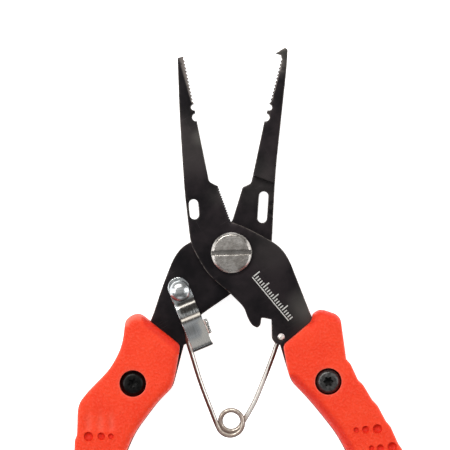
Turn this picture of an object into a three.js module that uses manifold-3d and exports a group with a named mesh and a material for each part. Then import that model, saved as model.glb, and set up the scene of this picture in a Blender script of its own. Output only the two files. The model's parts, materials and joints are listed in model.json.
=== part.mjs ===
// Fishing pliers: long lap-jointed jaws with a hook tip and side cutters, two-part moulded grips,
// a coiled return spring and a swinging lock lever.
// Millimetres, +Z up. The tool lies on the rear faces of its grips, wide open, with its jaws along +Y.
// Every piece is drawn around the pivot axis, with the plane between the two plates at z = 0.
// The whole tool is then moved so that the origin is the centre of the base of its bounding box.
import * as THREE from "three";
import { mergeVertices } from "three/addons/utils/BufferGeometryUtils.js";
import Module from "manifold-3d";

// ---------------------------------------------------------------- driving dimensions

const PLATE = 2.8; // lap plane to a plate's outer face
const LAP_GAP = 0.05; // lap plane to a plate's inner face
const FIT = 0.1; // gap between stacked pieces
const RUNNING_FIT = 0.1; // radial clearance of a pin in its hole
const TIP_HALF_THICKNESS = 1.5; // jaws at the tip, either side of the lap plane
const SHOULDER = [7.7, 26.2]; // inner end of the step where a jaw becomes full thickness
const SHOULDER_SLOPE = 19.7; // degrees
const JAW_END = 68; // y where the jaws' taper reaches the tip thickness

const TOOTH_COUNT = 13; // teeth along each jaw tip
const TOOTH_DEPTH = 0.42;
const CUTTER_TOOTH_COUNT = 15; // fine teeth along the front cutter
const CUTTER_TOOTH_DEPTH = 0.2;

// Each jaw's round-ended window beside the cutters and its two crimp notches in the smooth edge.
const LEFT_WINDOW = { centre: [-12.75, 14.75], width: 3.2, length: 6.8, turn: 5 };
const RIGHT_WINDOW = { centre: [10.75, 15.5], width: 3.2, length: 10.7, turn: -4 };
const LEFT_NOTCHES = [
  { centre: [-12.7, 49.5], radius: 1.1 },
  { centre: [-12, 46.1], radius: 1.4 },
];
const RIGHT_NOTCHES = [
  { centre: [12.75, 49.5], radius: 1.1 },
  { centre: [11.6, 46.1], radius: 1.4 },
];

const GRIP_FACE = 7.3; // lap plane to a grip's outer face
const GRIP_CHAMFER = 0.7;
const RIB_STEP = 2.1; // outward step at the head of a finger rib
const RIB_RUN = 6.4; // length of a finger rib after its step
const RIB_STEP_TURN = 19; // degrees by which the step turns outwards from the rib
const TANG_CLEARANCE = 0.3; // pocket wall to tang

const PIVOT_HEAD_RADIUS = 6.95;
const PIVOT_HEAD_HEIGHT = 2.2;
const PIVOT_SHANK_RADIUS = 3.9;
const PIVOT_THREAD_RADIUS = 2.9;
const PIVOT_SLOT = { width: 1.5, depth: 1.2, turn: 1.7 };
const PIVOT_END = -6; // z of the threaded end
const WASHER = { radius: 6, thickness: 0.5 };
const PIVOT_NUT = { acrossFlats: 10, height: 2.2 };

const GRIP_SCREW = { head: 4, headHeight: 2, shank: 2, recess: 4.5, recessDepth: 2.4 };
const GRIP_NUT = { acrossFlats: 7, height: 2.4, recess: 4.4, recessDepth: 2.8 };
const GRIP_SCREW_END = -6.6; // z of the threaded end
const SOCKET = { radius: 1.3, depth: 1.2 };
const LEFT_SCREWS = { upper: [-33.4, -44.3], lower: [-50.2, -93] };
const RIGHT_SCREWS = { upper: [32.8, -43.6], lower: [55, -93] };

const RIVET = { shank: 1.5, head: 3.6, rim: 0.35, dome: 1.9, peened: 2.7, peenedHeight: 1.1 };
const LEVER = {
  rivet: [-17.6, -13.1], // rivet axis on the rear plate
  turn: -67.5, // degrees from +X, at rest
  halfWidth: 3.65,
  thickness: 1,
  bottom: 0.1, // underside of the foot, over the rear plate
  roundEnd: -1.2, // centre of the rounded end, along the lever from the rivet
  rampStart: 5.2,
  rampEnd: 10.4,
  lipInner: 20.1,
  lipOuter: 21.1,
  flatHeight: 3, // underside of the raised flat
  lipHeight: 0.3, // lower edge of the bent-down lip
  lipRelief: { width: 1.9, height: 2.4 }, // corner of the lip cut away above the spring's wire
  tab: { start: 11.9, end: 17.2, offset: 1.1, top: 6.6 }, // thumb tab standing up along one edge
};

const WIRE_RADIUS = 0.7;
const WIRE_BEND = 0.9; // bend radius where the wire turns down into its hole
const COIL = { centre: [-0.2, -57.7], radius: 3.55, pitch: 1.65, lean: 0.7 };
const COIL_START = 204.7; // degrees where the left arm meets the coil
const COIL_END = 695; // degrees where the right arm leaves it
const COIL_SPLIT = 450; // degrees where the two spring nodes part
const COIL_SPLIT_GAP = 36; // degrees left open at the parting
const LEFT_ANCHOR = [-15, -27.6];
const RIGHT_ANCHOR = [16.9, -28.7];
const LEFT_ANCHOR_PLAY = 0.25; // radial clearance of the wire in its hole
const RIGHT_ANCHOR_PLAY = 0.45;
const PEENED_END = { radius: 1, height: 0.5 };

// ---------------------------------------------------------------- materials

const finish = (color, roughness, metalness) =>
  new THREE.MeshStandardMaterial({ color, roughness, metalness });
const BLACK_STEEL = finish(0x262427, 0.42, 0.8);
const STAINLESS = finish(0xb4b0aa, 0.32, 1);
const ZINC = finish(0xc4c8cc, 0.25, 1);
const SPRING_WIRE = finish(0xc8beb4, 0.25, 1);
const RED_PLASTIC = finish(0xf24a2c, 0.5, 0);
const BLACK_SCREW = finish(0x17171a, 0.4, 0.7);

// ---------------------------------------------------------------- solids

const manifold = await Module();
manifold.setup();

// A closed geometry as a solid, without the triangles that merging has closed up.
function solid(geometry) {
  geometry.deleteAttribute("normal");
  geometry.deleteAttribute("uv");
  const merged = mergeVertices(geometry);
  const corners = [];
  for (let i = 0; i < merged.index.count; i += 3) {
    const [a, b, c] = merged.index.array.slice(i, i + 3);
    if (a !== b && b !== c && c !== a) corners.push(a, b, c);
  }
  return new manifold.Manifold(
    new manifold.Mesh({
      numProp: 3,
      vertProperties: merged.attributes.position.array,
      triVerts: new Uint32Array(corners),
    }),
  );
}

const cut = (body, ...tools) => tools.reduce((left, tool) => left.subtract(tool), body);
const join = (body, ...others) => others.reduce((sum, other) => sum.add(other), body);

// A closed outline through corners [x, y, ease]; ease is how far from the corner its rounding starts.
function outline(corners) {
  const points = corners.map(([x, y]) => new THREE.Vector2(x, y));
  const shape = new THREE.Shape();
  corners.forEach(([x, y, ease = 0], i) => {
    const before = points.at(i - 1);
    const after = points[(i + 1) % points.length];
    const start = points[i].clone().lerp(before, Math.min(0.5, ease / before.distanceTo(points[i])));
    const end = points[i].clone().lerp(after, Math.min(0.5, ease / after.distanceTo(points[i])));
    if (i === 0) shape.moveTo(start.x, start.y);
    else shape.lineTo(start.x, start.y);
    if (ease) shape.quadraticCurveTo(x, y, end.x, end.y);
  });
  return shape;
}

// An outline extruded between two heights: grow moves its sides out, chamfer bevels both rims.
function slab(shape, low, high, { grow = 0, chamfer = 0, curveSegments = 4 } = {}) {
  const geometry = new THREE.ExtrudeGeometry(shape, {
    depth: high - low - 2 * chamfer,
    curveSegments,
    bevelEnabled: true,
    bevelThickness: chamfer,
    bevelSize: chamfer,
    bevelOffset: grow - chamfer,
    bevelSegments: chamfer ? 1 : 0,
  });
  return solid(geometry.translate(0, 0, low + chamfer));
}

function block([x0, y0, z0], [x1, y1, z1]) {
  const geometry = new THREE.BoxGeometry(x1 - x0, y1 - y0, z1 - z0);
  return solid(geometry.translate((x0 + x1) / 2, (y0 + y1) / 2, (z0 + z1) / 2));
}

function cylinder([x, y], radius, low, high, sides = 32) {
  const geometry = new THREE.CylinderGeometry(radius, radius, high - low, sides);
  geometry.rotateX(Math.PI / 2);
  return solid(geometry.translate(x, y, (low + high) / 2));
}

// A solid of revolution about the Z axis through [x, y]; the profile is [radius, z], from low to high.
function turned([x, y], profile, sides = 32) {
  const points = profile.map(([r, z]) => new THREE.Vector2(r, z));
  const geometry = new THREE.LatheGeometry(points, sides);
  geometry.rotateX(Math.PI / 2);
  return solid(geometry.translate(x, y, 0));
}

// A round-ended slot: centre, overall size, and turn in degrees.
function oblong([x, y], width, length, turn, low, high) {
  const radius = width / 2;
  const reach = length / 2 - radius;
  const shape = new THREE.Shape();
  shape.absarc(0, reach, radius, 0, Math.PI);
  shape.absarc(0, -reach, radius, Math.PI, 2 * Math.PI);
  const body = slab(shape, low, high, { curveSegments: 6 });
  return body.rotate([0, 0, turn]).translate([x, y, 0]);
}

// ---------------------------------------------------------------- outlines

// Corners of a row of teeth from one point to another, cut into the side to the left of their way.
function teeth([x0, y0], [x1, y1], count, depth) {
  const run = new THREE.Vector2(x1 - x0, y1 - y0).divideScalar(count);
  const inward = new THREE.Vector2(-run.y, run.x).setLength(depth);
  return Array.from({ length: count }, (_, i) => [
    [x0 + run.x * i, y0 + run.y * i],
    [x0 + run.x * (i + 0.5) + inward.x, y0 + run.y * (i + 0.5) + inward.y],
  ]).flat();
}

// Corners of overlapping finger ribs down the outside of a grip. A rib steps out, then runs along its
// heading, in degrees from -Y towards the outside; side is 1 on the right grip and -1 on the left.
function ribs([startX, startY], headings, side) {
  let x = startX;
  let y = startY;
  const corners = [[x, y]];
  const go = (heading, distance) => {
    const angle = THREE.MathUtils.degToRad(heading);
    x += side * distance * Math.sin(angle);
    y -= distance * Math.cos(angle);
    corners.push([x, y]);
  };
  for (const heading of headings) {
    go(heading + RIB_STEP_TURN, RIB_STEP);
    go(heading, RIB_RUN);
  }
  return corners;
}

// Front plate: left jaw, front cutter, lap disc, lock tooth and right tang.
const FRONT_PLATE = outline([
  [-18.4, 66.3, 0.5],
  [-17.7, 46.8, 8],
  [-16, 20.6, 6],
  [-13.9, 2.9, 2.5],
  [-8.3, -7.2, 4],
  [-0.9, -13.4, 1.2],
  [4.3, -18.6, 1.5],
  [5.5, -22.3, 1.2],
  [6.9, -24.7, 1],
  [8.9, -25.7, 0.8],
  [9.9, -24.5, 0.5],
  [10.2, -22.1, 0.5],
  [13.6, -22.7, 0.3],
  [13.7, -29.3, 0.8],
  [14.8, -30.9, 0.8],
  [16.5, -31.3, 0.3],
  [20.1, -43.6, 2],
  [26.7, -50.4, 4],
  [35.5, -61.4, 4],
  [42.6, -74.6, 6],
  [46.2, -83.6, 5],
  [48.4, -93, 4],
  [49.2, -99.5, 3],
  [60, -99.5, 4],
  [59.5, -86, 6],
  [52.5, -68, 6],
  [36, -42, 8],
  [27.2, -21.6, 3],
  [19.4, -1.7, 3],
  [16.2, 2.5, 3],
  [5.3, 8.4, 3],
  ...teeth([-0.1, 10.5], [-4.4, 22.4], CUTTER_TOOTH_COUNT, CUTTER_TOOTH_DEPTH),
  [-4.5, 22.6, 0.4],
  [-7.6, 24.1, 0.9],
  [-11.7, 44.3],
  [-12.4, 48],
  ...teeth([-12.95, 51.2], [-16.1, 66.4], TOOTH_COUNT, TOOTH_DEPTH),
  [-16.3, 66.9, 0.3],
]);

// Rear plate: right jaw with its hook tip, rear cutter, lap disc and left tang.
const REAR_PLATE = outline([
  [15, 67.85],
  [16.9, 67.3, 0.3],
  ...teeth([17, 66.4], [13.1, 51.2], TOOTH_COUNT, TOOTH_DEPTH),
  [12.9, 50.8],
  [12.1, 48],
  [11.1, 44.3],
  [6.7, 23.6, 0.9],
  [3.8, 22.3, 0.4],
  [0.2, 10.5, 1],
  [-5.3, 8.4, 3],
  [-17, 2, 2.5],
  [-19.8, -1.9, 2.5],
  [-23.5, -11.3, 5],
  [-27.3, -22.9, 3],
  [-36.5, -41, 8],
  [-44, -54, 6],
  [-47, -68, 6],
  [-52.5, -88, 6],
  [-54.5, -99.5, 4],
  [-44.4, -99.5, 3],
  [-43.9, -94, 4],
  [-41.7, -84.5, 5],
  [-38.5, -75.1, 6],
  [-32.7, -61.3, 4],
  [-24.9, -50.8, 3],
  [-19.9, -45.9, 2],
  [-16.2, -31.5, 0.4],
  [-14.4, -30.8, 0.6],
  [-13.2, -29.2, 0.8],
  [-12.6, -24, 2],
  [-10.4, -21.2, 1.2],
  [0.9, -13.4, 1.2],
  [8.3, -7.2, 4],
  [13.8, 2.9, 1],
  [14.2, 13.5, 4],
  [15.1, 29.1, 8],
  [18.8, 62.5, 4],
  [19.2, 69.2, 0.5],
  [18.2, 69.9, 0.6],
]);

const LEFT_GRIP = outline([
  [-36, -22.6, 1.6],
  [-31.8, -20.2, 2.4],
  [-17.4, -31.4, 1.4],
  [-18.9, -41, 3],
  [-20.2, -45.9, 2],
  [-25.2, -50.7, 3],
  [-33, -61.2, 4],
  [-38.8, -75, 6],
  [-42, -84.5, 5],
  [-44.2, -94, 5],
  [-45.3, -110, 5],
  [-59.6, -110, 7],
  ...ribs([-52.4, -61.6], [2, 5, 9, 9, 5], -1).reverse(),
  [-52.1, -51.5, 3],
  [-49.5, -48, 3],
  [-41, -39.3, 4],
  [-37, -31.5, 4],
]);

const RIGHT_GRIP = outline([
  [36.9, -21.4, 2],
  [38.9, -36],
  ...ribs([38.9, -36.1], [25, 31, 28, 24, 17, 9, 3, -1], 1),
  [64.8, -110, 7],
  [49.6, -110, 5],
  [48.6, -93, 5],
  [46.4, -83.5, 5],
  [42.8, -74.5, 6],
  [35.7, -61.3, 4],
  [26.8, -50.2, 4],
  [20.6, -44, 2],
  [19.2, -40.5, 2],
  [17.5, -31.4, 1.4],
  [27.2, -23.3, 1.5],
  [27.7, -20.9, 1],
  [30.4, -19.2, 1.5],
]);

// Room inside the left grip's inner edge for the spring's front arm when the tool is shut.
const SPRING_RELIEF_TOP = 2.4;
const SPRING_RELIEF = outline([
  [-19.5, -28.5],
  [-19.1, -33.4],
  [-21, -41.9],
  [-22.2, -46.3],
  [-26.5, -52],
  [-10, -52],
  [-10, -28.5],
]);

// ---------------------------------------------------------------- plates

// How far cutting tools reach past what they cut.
const PLATE_TOOL = 4;
const REACH = 200;

// What the lap takes away from a half forging: its far side below the shoulder, side = 1 or -1 in X.
function lapCutter(side) {
  const box = block([-REACH, -2 * REACH, -PLATE_TOOL], [REACH, 0, 0]);
  const turnedBox = box.rotate([0, 0, -side * SHOULDER_SLOPE]);
  return turnedBox.translate([side * SHOULDER[0], SHOULDER[1], 0]);
}

// The wedges that taper the jaws from the shoulder to the tip, above and below the lap plane.
function jawTaper() {
  const start = SHOULDER[1] + 1;
  const slope = (PLATE - TIP_HALF_THICKNESS) / (JAW_END - start);
  const far = JAW_END + 10;
  const tool = (side) => {
    const shape = new THREE.Shape([
      new THREE.Vector2(start, side * PLATE),
      new THREE.Vector2(far, side * (PLATE - slope * (far - start))),
      new THREE.Vector2(far, side * 2 * PLATE),
      new THREE.Vector2(start, side * 2 * PLATE),
    ]);
    const geometry = new THREE.ExtrudeGeometry(shape, { depth: 60, bevelEnabled: false });
    const alongX = new THREE.Matrix4().makeBasis(
      new THREE.Vector3(0, 1, 0),
      new THREE.Vector3(0, 0, 1),
      new THREE.Vector3(1, 0, 0),
    );
    return solid(geometry.applyMatrix4(alongX).translate(-30, 0, 0));
  };
  return [tool(1), tool(-1)];
}

const plateHole = (centre, radius, sides) =>
  cylinder(centre, radius, -PLATE_TOOL, PLATE_TOOL, sides);

// Holes that both plates have: for the pivot, for the grip's two screws, the window and the notches.
function plateHoles(screws, { centre, width, length, turn }, notches) {
  return [
    plateHole([0, 0], PIVOT_SHANK_RADIUS + RUNNING_FIT),
    ...Object.values(screws).map((place) => plateHole(place, GRIP_SCREW.shank + RUNNING_FIT)),
    oblong(centre, width, length, turn, -PLATE_TOOL, PLATE_TOOL),
    ...notches.map((notch) => plateHole(notch.centre, notch.radius, 16)),
  ];
}

function frontJawPlate() {
  return cut(
    slab(FRONT_PLATE, -PLATE, PLATE),
    lapCutter(-1).translate([0, 0, LAP_GAP]),
    ...jawTaper(),
    ...plateHoles(RIGHT_SCREWS, LEFT_WINDOW, LEFT_NOTCHES),
    plateHole(RIGHT_ANCHOR, WIRE_RADIUS + RIGHT_ANCHOR_PLAY, 20),
  );
}

function rearJawPlate() {
  return cut(
    slab(REAR_PLATE, -PLATE, PLATE),
    lapCutter(1).scale([1, 1, -1]).translate([0, 0, -LAP_GAP]),
    ...jawTaper(),
    ...plateHoles(LEFT_SCREWS, RIGHT_WINDOW, RIGHT_NOTCHES),
    plateHole(LEFT_ANCHOR, WIRE_RADIUS + LEFT_ANCHOR_PLAY, 20),
    plateHole(LEVER.rivet, RIVET.shank + RUNNING_FIT, 20),
  );
}

// ---------------------------------------------------------------- pivot

function pivotScrew() {
  const under = PLATE + FIT;
  const top = under + PIVOT_HEAD_HEIGHT;
  const body = turned(
    [0, 0],
    [
      [0, PIVOT_END],
      [PIVOT_THREAD_RADIUS - 0.4, PIVOT_END],
      [PIVOT_THREAD_RADIUS, PIVOT_END + 0.4],
      [PIVOT_THREAD_RADIUS, -PLATE],
      [PIVOT_SHANK_RADIUS, -PLATE],
      [PIVOT_SHANK_RADIUS, under],
      [PIVOT_HEAD_RADIUS, under],
      [PIVOT_HEAD_RADIUS, top - 0.8],
      [PIVOT_HEAD_RADIUS - 0.9, top - 0.1],
      [PIVOT_HEAD_RADIUS - 1.3, top],
      [0, top],
    ],
    48,
  );
  const { width, depth, turn } = PIVOT_SLOT;
  const slot = block([-10, -width / 2, top - depth], [10, width / 2, top + 1]);
  return cut(body, slot.rotate([0, 0, turn]));
}

function pivotWasher() {
  const top = -PLATE - FIT;
  const low = top - WASHER.thickness;
  return cut(
    cylinder([0, 0], WASHER.radius, low, top, 40),
    cylinder([0, 0], PIVOT_THREAD_RADIUS + RUNNING_FIT, low - 1, 0),
  );
}

// A hexagon nut under z = top with a hole for a screw of that radius.
function nut(centre, acrossFlats, height, top, hole) {
  const circumradius = acrossFlats / Math.sqrt(3);
  return cut(
    cylinder(centre, circumradius, top - height, top, 6),
    cylinder(centre, hole + RUNNING_FIT, top - height - 1, top + 1),
  );
}

function pivotNut() {
  const top = -PLATE - FIT - WASHER.thickness - FIT;
  return nut([0, 0], PIVOT_NUT.acrossFlats, PIVOT_NUT.height, top, PIVOT_THREAD_RADIUS);
}

// ---------------------------------------------------------------- grips

// Screw holes with a round recess for the head in front or for the nut behind.
function gripHoles(screws, front) {
  const seat = front ? GRIP_SCREW : GRIP_NUT;
  const floor = GRIP_FACE - seat.recessDepth;
  return Object.values(screws).flatMap((centre) => [
    cylinder(centre, GRIP_SCREW.shank + RUNNING_FIT, -10, 10, 24),
    front
      ? cylinder(centre, seat.recess, floor, GRIP_FACE + 1)
      : cylinder(centre, seat.recess, -GRIP_FACE - 1, -floor),
  ]);
}

// One scale of a grip: front or rear of the lap plane, with a pocket where the tang runs in its half.
function gripScale(shape, front, tang, screws) {
  const body = slab(shape, -GRIP_FACE, GRIP_FACE, { chamfer: GRIP_CHAMFER });
  const otherSide = front
    ? block([-REACH, -REACH, -REACH], [REACH, REACH, FIT])
    : block([-REACH, -REACH, -FIT], [REACH, REACH, REACH]);
  const pocket = slab(tang, front ? -1 : -PLATE - FIT, front ? PLATE + FIT : 1, {
    grow: TANG_CLEARANCE,
  });
  const tangIsFront = tang === FRONT_PLATE;
  const tools = [otherSide, ...gripHoles(screws, front)];
  if (tangIsFront === front) tools.push(pocket);
  if (shape === LEFT_GRIP && front) tools.push(slab(SPRING_RELIEF, -1, SPRING_RELIEF_TOP));
  return cut(body, ...tools);
}

function gripScrew(centre) {
  const { head, headHeight, shank, recessDepth } = GRIP_SCREW;
  const under = GRIP_FACE - recessDepth + FIT;
  const top = under + headHeight;
  const body = turned(
    centre,
    [
      [0, GRIP_SCREW_END],
      [shank, GRIP_SCREW_END],
      [shank, under],
      [head, under],
      [head, under + 0.7],
      [head * 0.8, top - 0.35],
      [head * 0.45, top],
      [0, top],
    ],
    28,
  );
  return cut(body, cylinder(centre, SOCKET.radius, top - SOCKET.depth, top + 1, 6));
}

function gripNut(centre) {
  const { acrossFlats, height, recessDepth } = GRIP_NUT;
  return nut(centre, acrossFlats, height, -(GRIP_FACE - recessDepth) - FIT, GRIP_SCREW.shank);
}

// ---------------------------------------------------------------- lock lever

function leverRivet() {
  const { shank, head, rim, dome, peened, peenedHeight } = RIVET;
  const seat = LEVER.bottom + LEVER.thickness + FIT;
  const back = -PLATE - FIT;
  const arc = Array.from({ length: 6 }, (_, i) => {
    const angle = (i / 6) * (Math.PI / 2);
    return [head * Math.cos(angle), seat + rim + dome * Math.sin(angle)];
  });
  return turned(LEVER.rivet, [
    [0, back - peenedHeight],
    [peened - 0.5, back - peenedHeight + 0.1],
    [peened, back],
    [shank, back],
    [shank, seat],
    [head, seat],
    ...arc,
    [0, seat + rim + dome],
  ]);
}

// The lever's strip seen from its side: x runs along the lever and y is height.
function leverStrip() {
  const { thickness: t, flatHeight, lipHeight, rampStart, rampEnd, lipInner, lipOuter } = LEVER;
  const foot = LEVER.bottom;
  return outline([
    [-6, foot],
    [rampStart, foot, 0.8],
    [rampEnd, flatHeight, 1.4],
    [lipInner, flatHeight, 0.4],
    [lipInner, lipHeight],
    [lipOuter, lipHeight],
    [lipOuter, flatHeight + t, 1.3],
    [rampEnd - 0.35, flatHeight + t, 0.8],
    [rampStart - 0.35, foot + t, 1.4],
    [-6, foot + t],
  ]);
}

function lockLever() {
  const { halfWidth, roundEnd, lipInner, lipOuter, lipRelief, rivet, turn, flatHeight, tab } = LEVER;
  const along = new THREE.Matrix4().makeBasis(
    new THREE.Vector3(1, 0, 0),
    new THREE.Vector3(0, 0, 1),
    new THREE.Vector3(0, -1, 0),
  );
  const upright = (shape, from, to) => {
    const geometry = new THREE.ExtrudeGeometry(shape, {
      depth: to - from,
      curveSegments: 5,
      bevelEnabled: false,
    });
    return solid(geometry.applyMatrix4(along).translate(0, to, 0));
  };
  const plan = new THREE.Shape();
  plan.moveTo(lipOuter + 1, -halfWidth);
  plan.lineTo(lipOuter + 1, halfWidth);
  plan.lineTo(roundEnd, halfWidth);
  plan.absarc(roundEnd, 0, halfWidth, Math.PI / 2, 1.5 * Math.PI);
  const strip = upright(leverStrip(), -10, 10).intersect(slab(plan, -1, 9, { curveSegments: 12 }));
  const tabFace = outline([
    [tab.start, flatHeight + 0.1],
    [tab.start, tab.top, 2.5],
    [tab.end, tab.top, 2.5],
    [tab.end, flatHeight + 0.1],
  ]);
  const tabOuter = halfWidth + tab.offset;
  const tabFoot = block(
    [tab.start, halfWidth - 1, flatHeight],
    [tab.end, tabOuter, flatHeight + LEVER.thickness],
  );
  const wireRoom = block(
    [lipInner - 1, -halfWidth - 1, -1],
    [lipOuter + 1, lipRelief.width - halfWidth, lipRelief.height],
  );
  const lever = cut(
    join(strip, upright(tabFace, tabOuter - LEVER.thickness, tabOuter), tabFoot),
    cylinder([0, 0], RIVET.shank + RUNNING_FIT, -1, 3, 20),
    wireRoom,
  );
  return lever.rotate([0, 0, turn]).translate([...rivet, 0]);
}

// ---------------------------------------------------------------- return spring

// A point of the coil's centre line: it sinks by one pitch a turn and leans towards +Y as it does.
function coilPoint(degrees) {
  const angle = THREE.MathUtils.degToRad(degrees);
  const z = (COIL.pitch * ((COIL_START + COIL_END) / 2 - degrees)) / 360;
  return new THREE.Vector3(
    COIL.centre[0] + COIL.radius * Math.cos(angle),
    COIL.centre[1] + COIL.radius * Math.sin(angle) - COIL.lean * z,
    z,
  );
}

function coilArc(from, to) {
  const step = 15;
  const count = Math.round((to - from) / step);
  return Array.from({ length: count + 1 }, (_, i) => coilPoint(from + ((to - from) * i) / count));
}

// The wire from its peened end, through its hole in a plate, along the arm to the coil.
function springArm(anchor, side, armPoints, coil) {
  const [x, y] = anchor;
  const armHeight = side * coilPoint(COIL_START).z;
  const bend = side * WIRE_BEND;
  const [nextX, nextY] = armPoints[0];
  const towards = new THREE.Vector2(nextX - x, nextY - y).setLength(WIRE_BEND);
  const path = new THREE.CatmullRomCurve3(
    [
      new THREE.Vector3(x, y, -side * (PLATE + 0.3)),
      new THREE.Vector3(x, y, -side),
      new THREE.Vector3(x, y, armHeight - bend),
      new THREE.Vector3(x + 0.3 * towards.x, y + 0.3 * towards.y, armHeight - 0.3 * bend),
      new THREE.Vector3(x + towards.x, y + towards.y, armHeight),
      ...armPoints.map(([px, py]) => new THREE.Vector3(px, py, armHeight)),
      ...coil,
    ],
    false,
    "centripetal",
  );
  const section = new THREE.Shape();
  section.absarc(0, 0, WIRE_RADIUS, 0, 2 * Math.PI);
  const wire = new THREE.ExtrudeGeometry(section, {
    steps: 66,
    curveSegments: 4,
    extrudePath: path,
    bevelEnabled: false,
  });
  const inner = PLATE + 2 * FIT;
  const outer = inner + PEENED_END.height;
  const [low, high] = side < 0 ? [inner, outer] : [-outer, -inner];
  return join(solid(wire), cylinder(anchor, PEENED_END.radius, low, high, 16));
}

const springLeftArm = () =>
  springArm(
    LEFT_ANCHOR,
    1,
    [
      [-14.7, -30.6],
      [-13.4, -34.9],
      [-10.7, -43.3],
      [-6.9, -51.8],
    ],
    coilArc(COIL_START, COIL_SPLIT - COIL_SPLIT_GAP / 2),
  );

const springRightArm = () =>
  springArm(
    RIGHT_ANCHOR,
    -1,
    [
      [15.3, -31.7],
      [13.8, -35.4],
      [10.5, -43.3],
      [6.6, -51.5],
    ],
    coilArc(COIL_SPLIT + COIL_SPLIT_GAP / 2, COIL_END).reverse(),
  );

// ---------------------------------------------------------------- assembly

function piece(name, body, material) {
  const { vertProperties, triVerts } = body.getMesh();
  const geometry = new THREE.BufferGeometry();
  geometry.setAttribute("position", new THREE.BufferAttribute(vertProperties, 3));
  geometry.setIndex(new THREE.BufferAttribute(triVerts, 1));
  geometry.computeVertexNormals();
  const mesh = new THREE.Mesh(geometry, material);
  mesh.name = name;
  return mesh;
}

function grip(side, shape, tang, screws) {
  const group = new THREE.Group();
  group.add(
    piece(`${side}_front_grip`, gripScale(shape, true, tang, screws), RED_PLASTIC),
    piece(`${side}_rear_grip`, gripScale(shape, false, tang, screws), RED_PLASTIC),
  );
  for (const [place, centre] of Object.entries(screws)) {
    group.add(
      piece(`${side}_${place}_grip_screw`, gripScrew(centre), BLACK_SCREW),
      piece(`${side}_${place}_grip_nut`, gripNut(centre), BLACK_SCREW),
    );
  }
  return group;
}

const rearHalf = new THREE.Group();
rearHalf.add(
  piece("rear_jaw_plate", rearJawPlate(), BLACK_STEEL),
  piece("pivot_screw", pivotScrew(), STAINLESS),
  piece("pivot_washer", pivotWasher(), STAINLESS),
  piece("pivot_nut", pivotNut(), STAINLESS),
  piece("lever_rivet", leverRivet(), ZINC),
  grip("left", LEFT_GRIP, REAR_PLATE, LEFT_SCREWS),
);

const frontHalf = new THREE.Group();
frontHalf.add(
  piece("front_jaw_plate", frontJawPlate(), BLACK_STEEL),
  grip("right", RIGHT_GRIP, FRONT_PLATE, RIGHT_SCREWS),
);

const pliers = new THREE.Group();
pliers.add(
  rearHalf,
  frontHalf,
  piece("lock_lever", lockLever(), ZINC),
  piece("spring_left_arm", springLeftArm(), SPRING_WIRE),
  piece("spring_right_arm", springRightArm(), SPRING_WIRE),
);

const bounds = new THREE.Box3().setFromObject(pliers);
const middle = bounds.getCenter(new THREE.Vector3());
pliers.position.set(-middle.x, -middle.y, -bounds.min.z);

const root = new THREE.Group();
root.add(pliers);

export default root;
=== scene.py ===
"""Looks of the fishing pliers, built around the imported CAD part.

Shapes are in millimetres around the pivot's axis, with z = 0 on the plane between the two plates.
add_piece() moves them into the row frame.
"""

import json
import math

import bmesh
import bpy
import numpy as np
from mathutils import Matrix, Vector
from mathutils.geometry import delaunay_2d_cdt


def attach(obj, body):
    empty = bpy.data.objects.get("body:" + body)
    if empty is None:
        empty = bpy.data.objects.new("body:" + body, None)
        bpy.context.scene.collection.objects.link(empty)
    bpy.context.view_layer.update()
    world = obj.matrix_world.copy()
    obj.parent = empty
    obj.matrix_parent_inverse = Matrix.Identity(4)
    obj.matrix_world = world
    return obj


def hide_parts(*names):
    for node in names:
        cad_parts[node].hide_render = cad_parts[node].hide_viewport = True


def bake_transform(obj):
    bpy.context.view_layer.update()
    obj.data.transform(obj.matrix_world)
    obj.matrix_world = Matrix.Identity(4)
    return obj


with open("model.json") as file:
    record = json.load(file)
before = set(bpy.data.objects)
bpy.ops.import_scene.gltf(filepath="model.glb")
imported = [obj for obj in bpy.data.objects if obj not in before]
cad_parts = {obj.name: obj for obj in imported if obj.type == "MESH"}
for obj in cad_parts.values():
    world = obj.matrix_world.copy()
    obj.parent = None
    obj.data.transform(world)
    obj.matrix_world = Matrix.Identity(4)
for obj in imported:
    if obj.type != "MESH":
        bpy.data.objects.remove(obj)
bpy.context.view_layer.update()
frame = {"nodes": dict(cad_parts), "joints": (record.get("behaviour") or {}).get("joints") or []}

MM = 0.001
PIVOT = np.array(next(j["pos_m"] for j in frame["joints"] if j["name"] == "jaw_pivot")) / MM

# Millimetres and degrees, around the pivot.
PLATE = 2.8  # from the plane between the plates to a plate's outer face
LAP_GAP = 0.05  # from that plane to each plate's lap
SHOULDER = np.array([7.7, 26.2])  # a point on the step where a jaw becomes full thickness
SHOULDER_SLOPE = 19.7
TAPER_START, TAPER_END, TIP = 27.2, 68.0, 1.5  # a jaw thins between two heights, down to its tip
CUTTER_TOP = 25.0  # teeth below this height are the cutter's
GRIP_FACE = 7.3  # from the plane between the plates to a grip's face
SCREW_BORE, NUT_BORE = (4.5, 2.4), (4.4, 2.8)  # a counterbore's radius and depth
LEVER_RIVET = (-17.6, -13.1)
LEVER_TURN = -67.5
LEFT_ANCHOR = (-15.0, -27.6)  # the wire's hole in the rear plate
RIGHT_ANCHOR = (16.9, -28.7)  # and its hole in the front plate
COIL = np.array([-0.2, -57.7])  # the axis on which the coil winds
COIL_SHOWN = COIL + (0.24, 0.15)  # the visible coil's centre
COIL_START, COIL_END = 204.7, 695.0  # where the left arm meets the coil, then the right one
WIRE = 0.8  # the visible wire's radius

HALF = {"left": "rear_half", "right": "front_half"}  # the body that each grip belongs to


# ---------------- mesh building


def in_scene(name, data):
    """A new object in the scene."""
    obj = bpy.data.objects.new(name, data)
    bpy.context.scene.collection.objects.link(obj)
    return obj


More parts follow.
